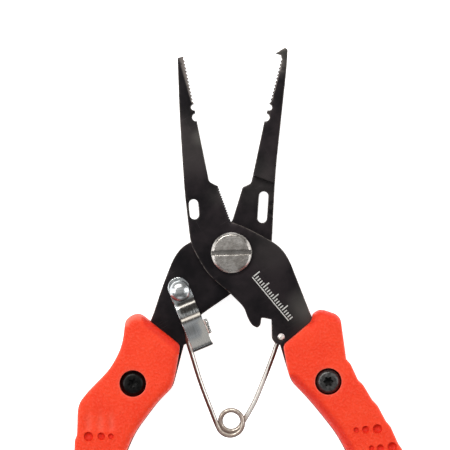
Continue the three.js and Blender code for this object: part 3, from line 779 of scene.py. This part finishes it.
def grip(side, front, loop, falls, dimples, screws, flutes=()):
    """One scale of a grip, with its rounded edges, dimples and counterbored screw holes."""
    recess, depth = SCREW_BORE if front else NUT_BORE
    holes = [circle(c, recess, 0, 72)[:, :2] for c in screws]
    relieved = front and side == "left"

    def top(p):
        crown = 0.28 * np.clip(1 - distance(p, loop) / 5, 0, 1) ** 2
        wide = np.zeros(len(p))
        for line, width, fall, _ in falls:
            share = np.clip(1 - distance(p, line, closed=False) / width, 0, 1)
            wide = np.maximum(wide, fall * share**2)
        shallow = sum(deep * flute(p, x, 1.1) for x, deep in flutes)
        return GRIP_FACE - crown - wide - shallow - dimple_drop(p, dimples)

    def bottom(p):
        return np.where(inside(p, [SPRING_RELIEF]) & relieved, SPRING_RELIEF_TOP, 0.1)

    extra = dimple_points(dimples)
    if relieved:
        extra = np.vstack([extra, relief_points()])
    edges = [1.25] + [0.3] * len(holes), [0.2] + [0.05] * len(holes)
    verts, faces, wear_and_painted_light, rims = sheet([loop, *holes], top, bottom, *edges, 0.9, extra)

    # The painted light: painted shade in a pit and in some edge bands, a painted highlight on an
    # edge, along a flute and in other edge bands.
    light = 0.8 * wear_and_painted_light
    painted_shading = np.clip(dimple_drop(verts[:, :2], dimples) / 0.5, 0, 1)
    for x, _ in flutes:
        light = np.maximum(light, 0.4 * flute(verts, x, 1.3))
    for line, width, _, shade in falls:
        gap = distance(verts[:, :2], line, closed=False)
        strip = abs(shade) * step(0.75 * width - gap, 0.5 * width)
        if shade > 0:
            painted_shading = np.maximum(painted_shading, strip)
        else:
            light = np.maximum(light, strip)
    painted_shading = np.where(painted_shading > 0.02, painted_shading, -light)
    painted_shading[len(verts) // 2 :] = 0

    verts, faces = drilled(verts, faces, rims, screws, recess, GRIP_FACE - depth)
    # The counterbores' inside gets near-black painted shade.
    painted_shading = np.pad(painted_shading, (0, len(verts) - len(painted_shading)), constant_values=2)
    if not front:
        verts = verts * (1, 1, -1)
        faces = [f[::-1] for f in faces]
    name = f"{side}_{'front' if front else 'rear'}_grip"
    add_piece(
        name + "_shell", verts, faces, HALF[side], "grip_plastic", PLASTIC, [name],
        sharp=50, wear_and_painted_light=painted_shading,
    )


def drilled(verts, faces, rims, screws, recess, floor):
    """Turns plain round holes into counterbores for a screw's head or nut."""
    shank = 2.1
    count = len(verts) // 2
    for rim, centre in zip(rims[1:], screws):
        ring = set(rim)
        lower = {i + count for i in ring}
        faces = [f for f in faces if not (len(f) == 4 and set(f) <= ring | lower)]
        outward = unit(verts[rim][:, :2] - centre)
        base, n = len(verts), len(rim)
        steps = [(recess, floor + 0.15), (recess - 0.15, floor), (shank, floor), (shank, 0.1)]
        new = [np.column_stack([centre + outward * r, np.full(n, z)]) for r, z in steps]
        verts = np.vstack([verts, *new])
        chains = [list(rim)] + [[base + k * n + i for i in range(n)] for k in range(4)]
        chains.append([i + count for i in rim])
        for a, b in zip(chains, chains[1:]):
            faces += [(a[i], a[(i + 1) % n], b[(i + 1) % n], b[i]) for i in range(n)]
    return verts, faces


def between(loop, start, end):
    """The stretch of a loop from its point nearest to start to its point nearest to end."""
    a = int(np.argmin(np.hypot(*(loop - start).T)))
    b = int(np.argmin(np.hypot(*(loop - end).T)))
    ahead = np.roll(loop, -a, axis=0)[: (b - a) % len(loop) + 1]
    back = np.roll(np.flipud(loop), a + 1, axis=0)[: (a - b) % len(loop) + 1]
    return ahead if len(ahead) < len(back) else back


left_loop = refined(outlines("left_front_grip", 5.6)[0], 0.55, 35, 1)
right_loop = refined(outlines("right_front_grip", 5.6)[0], 0.55, 35, 1)
# Wide roundings along the grips' edges: the line, its width, how far it falls and its painted shade,
# which is a painted highlight where negative.
LEFT_FALLS = [
    (between(left_loop, (-19.0, -36.0), (-44.2, -94.0)), 2.4, 1.2, 0.0),
    (between(left_loop, (-35.0, -23.8), (-27.6, -22.9)), 2.4, 1.7, -0.6),
    (between(left_loop, (-27.6, -22.9), (-17.6, -31.7)), 3.0, 0.9, 0.7),
]
RIGHT_FALLS = [
    (between(right_loop, (20.5, -44.2), (48.6, -93.0)), 3.8, 2.0, 0.8),
    (between(right_loop, (27.3, -24.0), (37.4, -22.0)), 2.6, 1.7, 0.5),
]
for is_front in (True, False):
    grip("left", is_front, left_loop, LEFT_FALLS, LEFT_DIMPLES, LEFT_SCREWS, FLUTES)
    grip("right", is_front, right_loop, RIGHT_FALLS, RIGHT_DIMPLES, RIGHT_SCREWS)


# ---------------- screws, nuts and washer


def grip_screw(side, place, centre, turn):
    """A button head with a six-lobe socket."""
    under = GRIP_FACE - SCREW_BORE[1] + 0.1
    top = under + 2
    n = 96
    outside = [
        (1e-3, -6.6), (1.7, -6.6), (2.0, -6.3), (2.0, under), (3.9, under), (4.0, under + 0.12),
        (4.0, under + 0.85), (3.93, under + 1.0), (3.3, top - 0.22), (3.1, top - 0.13),
        (2.6, top - 0.04), (2.1, top),
    ]
    socket = [(1.56, top - 0.02), (1.5, top - 0.1), (1.48, top - 1.5)]
    rings = [circle(centre, r, z, n) for r, z in outside]
    rings += [circle(centre, r, z, n, 6, 0.28, turn) for r, z in socket]
    rings += [circle(centre, r, top - down, n) for r, down in ((0.5, 1.7), (1e-3, 1.75))]
    verts, faces = loft(rings)
    # The socket's inside, which gets painted shade.
    within = np.repeat(np.arange(len(rings)) > len(outside), n)
    node = f"{side}_{place}_grip_screw"
    paint = SCREW_BLACK if side == "left" else SCREW_WORN
    add_piece(
        node + "_head", verts, faces, HALF[side], "black_fastener", paint, [node],
        sharp=30, wear_and_painted_light=within,
    )


for side, screws, angles in (("left", LEFT_SCREWS, (12, 40)), ("right", RIGHT_SCREWS, (3, 25))):
    for place, centre, angle in zip(("upper", "lower"), screws, angles):
        grip_screw(side, place, centre, angle)


def hex_nut(node, centre, flats, low, high, hole, body, slot, paint):
    """A hexagon nut, chamfered on its outer face, around a threaded end."""
    n = 96
    a = np.linspace(0, 2 * math.pi, n, endpoint=False)
    hexagon = (flats / 2) / np.cos((a + math.pi / 6) % (math.pi / 3) - math.pi / 6)
    corner = flats / math.sqrt(3)
    bore = [(hole, high), (hole, low + 0.25), (hole + 0.25, low)]
    outside = [
        (flats / 2 - 0.05, low), (flats / 2 + 0.1, low + 0.08), (corner, low + 0.5),
        (corner, high - 0.2), (corner - 0.2, high),
    ]
    rings = [circle(centre, r, z, n) for r, z in bore]
    rings += [ring_at(centre, np.minimum(hexagon, r), z, a) for r, z in outside]
    add_piece(node + "_turned", *band(rings), body, slot, paint, [node], sharp=30)


for side, screws in (("left", LEFT_SCREWS), ("right", RIGHT_SCREWS)):
    for place, centre in zip(("upper", "lower"), screws):
        high = -(GRIP_FACE - NUT_BORE[1]) - 0.1
        node = f"{side}_{place}_grip_nut"
        hex_nut(node, centre, 7, high - 2.4, high, 2.1, HALF[side], "black_fastener", SCREW_BLACK)
hex_nut("pivot_nut", (0, 0), 10, -5.7, -3.5, 3.0, "rear_half", "pivot_stainless", STAINLESS)


def washer():
    section = [(3.0, -2.9), (3.0, -3.4), (5.9, -3.4), (6.0, -3.3), (6.0, -3.0), (5.9, -2.9)]
    rings = [circle((0, 0), r, z, 96) for r, z in section]
    add_piece(
        "pivot_washer_turned", *band(rings), "rear_half", "pivot_stainless", STAINLESS,
        ["pivot_washer"], sharp=30,
    )


washer()


def pivot_screw():
    """The slotted head over its shank and threaded end."""
    radius, under, top_z = 6.95, PLATE + 0.1, PLATE + 2.3
    half, deep, turn = 0.75, 1.2, math.radians(1.7)  # the slot's half width, depth and direction
    cos, sin = math.cos(turn), math.sin(turn)
    rows = [half + w for w in (0.3, 0.1, 0.03, -0.03, -0.15)]
    angles = set(np.linspace(0, 2 * math.pi, 160, endpoint=False))
    for w in rows:
        a = math.asin(w / radius)
        angles |= {a % (2 * math.pi), -a % (2 * math.pi), math.pi - a, math.pi + a}
    angles = np.array(sorted(angles)) + turn
    loop = radius * np.column_stack([np.cos(angles), np.sin(angles)])

    def top(p):
        r = np.hypot(*p.T)
        across = np.abs(p[:, 1] * cos - p[:, 0] * sin)
        chamfer = 0.75 * np.clip((r - 6.0) / 0.95, 0, 1) ** 1.3
        dome = 0.12 * (r / radius) ** 2
        lip = 0.05 * np.clip(1 - (across - half) / 0.25, 0, 1) ** 2
        face = top_z - dome - chamfer - lip
        return face + (top_z - deep - face) * step(half - across, 0.06)

    extra = [
        (x * cos - s * w * sin, x * sin + s * w * cos)
        for w in rows
        for s in (-1, 1)
        for x in np.arange(-6.9, 6.91, 0.3)
        if math.hypot(x, w) < radius - 0.1
    ]
    for r in (5.4, 5.8, 6.0, 6.15, 6.35, 6.6):
        extra += circle((0, 0), r, 0, 120)[:, :2].tolist()
    head = sheet([loop], top, level(under), [0.12], [0.08], 0.5, np.array(extra))
    shank = [
        (0, -6), (2.5, -6), (2.9, -5.6), (2.9, -PLATE), (3.9, -PLATE), (3.9, under + 0.3),
        (0, under + 0.3),
    ]
    verts, faces = merged(head[:2], lathe((0, 0), shank))
    z, r = verts[:, 2], np.hypot(*verts[:, :2].T)
    # The slot's walls, which the paint darkens as painted shade.
    slot = (z > under + 0.5) & (z < top_z - 0.5 * deep) & (r < 6.9)
    add_piece(
        "pivot_screw_turned", verts, faces, "rear_half", "pivot_stainless", STAINLESS,
        ["pivot_screw"], sharp=32, wear_and_painted_light=slot,
    )


pivot_screw()


# ---------------- lock lever and its rivet


def filleted(corners):
    """A polyline through corners [x, y, radius], its corners rounded."""
    points = [np.array(corners[0][:2], float)]
    for before, here, after in zip(corners, corners[1:], corners[2:]):
        p, a, b = (np.array(c[:2], float) for c in (here, before, after))
        u, v = (a - p) / np.linalg.norm(a - p), (b - p) / np.linalg.norm(b - p)
        half = math.acos(np.clip(u @ v, -1, 1)) / 2
        cut = here[2] / math.tan(half)
        centre = p + (u + v) / np.linalg.norm(u + v) * here[2] / math.sin(half)
        start, end = p + u * cut - centre, p + v * cut - centre
        sweep = math.acos(np.clip(start @ end / here[2] ** 2, -1, 1))
        for t in np.linspace(0, 1, 9):
            mixed = (start * math.sin((1 - t) * sweep) + end * math.sin(t * sweep)) / math.sin(sweep)
            points.append(centre + mixed)
    points.append(np.array(corners[-1][:2], float))
    return np.array(points)


def along(line):
    """How far each point of a line is from its start."""
    return np.concatenate([[0], np.cumsum(np.linalg.norm(np.diff(line, axis=0), axis=1))])


def bent(verts, line, lengths):
    """Bends a flat sheet (length, across, height) along a mid-line of (out, up)."""
    s, across, h = verts.T
    tangents = unit(np.gradient(line, lengths, axis=0))
    out, up, run, rise = (np.interp(s, lengths, v) for v in (*line.T, *tangents.T))
    norm = np.hypot(run, rise)
    return np.column_stack([out - h * rise / norm, across, up + h * run / norm])


def lever():
    """A bent strip: foot under the rivet, ramp, raised flat, lip and thumb tab."""
    thickness, tab_thickness, half_width = 1.0, 0.8, 3.65
    line = filleted(
        [(-6, 0.6, 0), (5.0, 0.6, 5.0), (10.2, 3.5, 6.0), (20.6, 3.5, 0.85), (20.6, 0.3, 0)]
    )
    lengths = along(line) - 6
    end = lengths[-1]
    notch = end - 2.1
    foot = ring_at((-1.2, 0), half_width, 0, np.linspace(math.pi / 2, 1.5 * math.pi, 40))
    far_end = [
        (notch, -half_width), (notch + 0.3, -half_width + 0.3), (notch + 0.35, -1.9),
        (notch + 0.6, -1.65), (end, -1.65), (end, half_width),
    ]
    loop = refined(np.vstack([foot[:, :2], far_end]), 0.4, 30, 2)
    hole = circle((0, 0), 1.6, 0, 40)[:, :2]
    extra = np.array([(s, y) for s in lengths[1:-1] for y in np.arange(-3.3, 3.4, 0.4)])
    sides = level(thickness / 2), level(-thickness / 2)
    strip = sheet([loop, hole], *sides, [0.25, 0.1], [0.2, 0.1], 0.7, extra)
    body = bent(strip[0], line, lengths)

    # The thumb tab: its sheet is (height along the bend, length along the lever), turned up.
    rise = filleted(
        [(half_width - 1.6, 3.47, 0), (half_width + 0.5, 3.47, 1.0), (half_width + 1.1, 6.45, 0)]
    )
    up = along(rise)
    crest = up[-1]
    tab = filleted([
        (0, 11.9, 0), (crest, 11.9, 1.5), (crest - 0.1, 15.2, 0.5), (crest - 1.3, 15.5, 0.5),
        (crest - 0.9, 17.2, 0.7), (0, 17.2, 0),
    ])
    extra = np.array([(u, x) for u in up[1:-1] for x in np.arange(12.2, 17, 0.4)])
    sides = level(tab_thickness / 2), level(-tab_thickness / 2)
    plate = sheet([refined(tab, 0.35, 60, 2)], *sides, [0.2], [0.2], 0.5, extra)
    turned = bent(plate[0], rise, up)[:, [1, 0, 2]]

    def hill(value, start, full, fade, stop):
        return np.interp(value, [start, full, fade, stop], [0, 1, 1, 0])

    # The bright and dark bands of the photographed studio, along (s) and across (y) the strip.
    s, y = strip[0][:, :2].T
    wear_and_painted_light = 0.5 - 0.4 * hill(s, 2.6, 4.0, 7.9, 9.0) * hill(y, -3.4, -2.2, 9, 10)
    wear_and_painted_light -= 0.42 * hill(s, 8.9, 9.7, 11.2, 12.2)
    wear_and_painted_light -= 0.2 * hill(s, 12, 13.5, 15, 18) * hill(y, -5, -4, -0.5, 2)
    wear_and_painted_light += 0.5 * hill(y, 0.8, 2.6, 9, 10) * hill(s, 11.5, 13, 17.5, 19)
    wear_and_painted_light += 0.5 * hill(s, 16, 19.2, 20.3, 20.7)
    wear_and_painted_light -= 0.45 * hill(s, 20.5, 20.9, 21.5, 21.9)
    # The thumb tab: a painted highlight inside and painted shade along its edges.
    wear_and_painted_light = np.concatenate([wear_and_painted_light, 1.0 - 0.95 * plate[2]])
    verts, faces = merged((body, strip[1]), (turned, [f[::-1] for f in plate[1]]))
    add_piece(
        "lock_lever_strip", on_lever(verts), faces, "lock_lever", "bright_zinc", ZINC,
        ["lock_lever"], sharp=35, wear_and_painted_light=wear_and_painted_light,
    )


def on_lever(verts):
    """From the lever's own frame, along its length from the rivet, to the pivot's frame."""
    a = math.radians(LEVER_TURN)
    x, y, z = np.asarray(verts, float).T
    east = LEVER_RIVET[0] + x * math.cos(a) - y * math.sin(a)
    north = LEVER_RIVET[1] + x * math.sin(a) + y * math.cos(a)
    return np.column_stack([east, north, z])


def rivet():
    """A domed head on a shank, peened behind the plate."""
    seat = 1.2
    profile = [(0, -4.0), (2.0, -4.0), (2.5, -3.7), (2.7, -2.9), (1.5, -2.9), (1.5, seat)]
    profile += [(3.5, seat), (3.6, seat + 0.1), (3.6, seat + 0.3)]
    steep = math.radians(62)
    for a in np.linspace(0.1, 1, 10) * steep:
        radius = 3.6 - 2.1 * (1 - math.cos(a)) / (1 - math.cos(steep))
        profile.append((radius, seat + 0.3 + 1.75 * math.sin(a) / math.sin(steep)))
    profile += [(1.2, seat + 2.1), (0.7, seat + 2.12), (0, seat + 2.12)]
    add_piece(
        "lever_rivet_headed", *lathe(LEVER_RIVET, profile, 72), "rear_half", "bright_zinc",
        RIVET_ZINC, ["lever_rivet"], sharp=40,
    )


lever()
rivet()


# ---------------- return spring


def coil_point(degrees):
    """The front turn, which the left arm runs into, is wider than the rest of the coil."""
    a = math.radians(degrees)
    pitch = 1.65
    z = pitch * ((COIL_START + COIL_END) / 2 - degrees) / 360
    radius = 3.8 + 0.9 * np.clip((360 - degrees) / 155, 0, 1)
    x, y = COIL_SHOWN + radius * np.array([math.cos(a), math.sin(a)])
    return (x, y - 0.5 * z, z)


def smooth_path(points, step_mm):
    """A centripetal Catmull-Rom curve through the points, sampled evenly."""

    def mix(t, p, at_p, q, at_q):
        return ((at_q - t) * p + (t - at_p) * q) / (at_q - at_p)

    points = np.array(points, float)
    points = np.vstack([2 * points[0] - points[1], points, 2 * points[-1] - points[-2]])
    samples = []
    for a, b, c, d in zip(points, points[1:], points[2:], points[3:]):
        gaps = [math.sqrt(math.dist(p, q)) for p, q in ((a, b), (b, c), (c, d))]
        t0, t1, t2, t3 = np.cumsum([0.0, *gaps])
        for t in np.linspace(t1, t2, 24, endpoint=False):
            ab, bc, cd = mix(t, a, t0, b, t1), mix(t, b, t1, c, t2), mix(t, c, t2, d, t3)
            samples.append(mix(t, mix(t, ab, t0, bc, t2), t1, mix(t, bc, t1, cd, t3), t2))
    samples.append(points[-2])
    samples = np.array(samples)
    far = along(samples)
    even = np.linspace(0, far[-1], int(far[-1] / step_mm))
    return np.column_stack([np.interp(even, far, samples[:, k]) for k in range(3)])


def arm(anchor, side, points):
    """The wire from its end behind a plate, up through its hole, and along the arm."""
    x, y = anchor
    bend = 0.9
    height = side * coil_point(COIL_START)[2]
    toward = np.array(points[0]) - anchor
    toward = bend * toward / np.linalg.norm(toward)
    path = [
        (x, y, -side * (PLATE + 0.5)),
        (x, y, -side * 1.0),
        (x, y, height - side * bend),
        (x + 0.3 * toward[0], y + 0.3 * toward[1], height - side * 0.3 * bend),
        (x + toward[0], y + toward[1], height),
    ]
    return path + [(px, py, height) for px, py in points]


def spring():
    """One wire from hole to hole, with its peened ends."""
    left = arm(LEFT_ANCHOR, 1, [(-14.7, -30.6), (-13.4, -34.9), (-10.8, -43.3), (-7.65, -51.8)])
    right = arm(RIGHT_ANCHOR, -1, [(15.4, -31.7), (14.1, -35.4), (11.05, -43.3), (7.6, -51.5)])
    coil = [coil_point(a) for a in np.linspace(COIL_START, COIL_END, 34)]
    arms_end = -52  # below this height it is the coil
    path = smooth_path(left + coil + right[::-1], 0.3)
    tangent = unit(np.gradient(path, axis=0))
    up = np.array([1.0, 0.0, 0.0])
    turn = np.linspace(0, 2 * math.pi, 20, endpoint=False)
    rings, wear_and_painted_light = [], []
    for p, t in zip(path, tangent):
        up = up - t * (up @ t)
        up /= np.linalg.norm(up)
        side = np.cross(t, up)
        around = np.cos(turn)[:, None] * up + np.sin(turn)[:, None] * side
        rings.append(p + WIRE * around)
        # Painted shade: the dark flank faces outwards on the arms and downwards on the coil. It is
        # paler low on the right arm.
        dark = np.array([t[1], -t[0], 0.0] if p[1] > arms_end else [0.0, -1.0, 0.0])
        fade = np.interp(p[1], [-45.0, -38.0], [0.45, 1.0]) if p[0] > 4 else 1.0
        wear_and_painted_light.extend(fade * (0.5 + 0.5 * around @ dark))
    # A dome over each hole: on the front plate as it is, on the rear plate mirrored.
    dome = [
        (0, 3.0), (0.92, 3.0), (1.0, 3.08), (1.0, 3.25), (0.88, 3.42), (0.6, 3.53), (0.3, 3.57),
        (0, 3.58),
    ]
    verts, faces = lathe(LEFT_ANCHOR, dome, 32)
    rear_end = verts * (1, 1, -1), [f[::-1] for f in faces]
    verts, faces = merged(loft(rings), rear_end, lathe(RIGHT_ANCHOR, dome, 32))
    wear_and_painted_light += [0.2] * (len(verts) - len(wear_and_painted_light))
    wire = add_piece(
        "return_spring", verts, faces, None, "spring_wire", SPRING_STEEL,
        ["spring_left_arm", "spring_right_arm"], sharp=50, wear_and_painted_light=wear_and_painted_light,
    )
    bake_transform(wire)


spring()


# ---------------- floor, light and camera


def floor():
    """A wide pale floor that glows a little, so that shadows on it stay faint."""
    mesh = bpy.data.meshes.new("floor")
    mesh.from_pydata([(-3, -3, 0), (3, -3, 0), (3, 3, 0), (-3, 3, 0)], [], [(0, 1, 2, 3)])
    paint = Paint("pale_floor", (0.86, 0.86, 0.86), 0.0, 0.9, 0.1)
    paint.fill(paint.shader, {"Emission Color": (1, 1, 1, 1), "Emission Strength": 0.85})
    mesh.materials.append(paint.material)
    in_scene("floor", mesh)


def softbox(name, at, look, size, power, colour=(1, 1, 1)):
    light = bpy.data.lights.new(name, "AREA")
    light.shape = "RECTANGLE"
    light.size, light.size_y = size
    light.energy = power
    light.color = colour
    obj = in_scene(name, light)
    obj.location = at
    obj.rotation_euler = (Vector(look) - Vector(at)).to_track_quat("-Z", "Y").to_euler()


def studio():
    """Soft boxes high around the part, low strips at the horizon, and dark in between."""
    world = bpy.data.worlds.new("studio")
    world.use_nodes = True
    background = world.node_tree.nodes["Background"].inputs
    background["Color"].default_value = (1, 0.99, 0.98, 1)
    background["Strength"].default_value = 0.13
    bpy.context.scene.world = world
    part = (0, 0.02, 0)
    softbox("overhead", (-0.05, 0.12, 1.15), part, (0.5, 0.5), 0.2)
    softbox("key_top", (-0.27, 0.64, 0.93), part, (0.7, 0.26), 7.6, (1, 0.975, 0.93))
    softbox("side_left", (-0.8, 0.0, 0.8), part, (0.4, 0.7), 3.6)
    softbox("side_right", (0.8, 0.1, 0.72), part, (0.4, 0.7), 3.0)
    softbox("low_front", (0.0, -0.8, 0.7), part, (0.6, 0.22), 0.5)
    horizon = (
        ("left", -1.3, 0.0, 0.55, 4.8), ("right", 1.3, 0.0, 0.55, 4.6),
        ("top", 0.0, 1.35, 0.3, 1.4), ("front", 0.0, -1.3, 0.3, 0.4),
    )
    for name, x, y, tall, power in horizon:
        z = tall / 2 + 0.01
        softbox("horizon_" + name, (x, y, z), (0, 0, z), (1.9, tall), power)


def camera():
    """Straight above the photograph's middle, high enough for its width."""
    data = bpy.data.cameras.new("camera")
    data.sensor_width = 36
    data.lens = 220
    frame_width = 0.153
    height = frame_width * data.lens / data.sensor_width + (PIVOT[2] + PLATE) * MM
    centre = (np.array([-2.2, 9.4]) + PIVOT[:2]) * MM
    obj = in_scene("camera", data)
    obj.location = (*centre, height)
    bpy.context.scene.camera = obj


floor()
studio()
camera()
bpy.context.scene.view_settings.view_transform = "Standard"
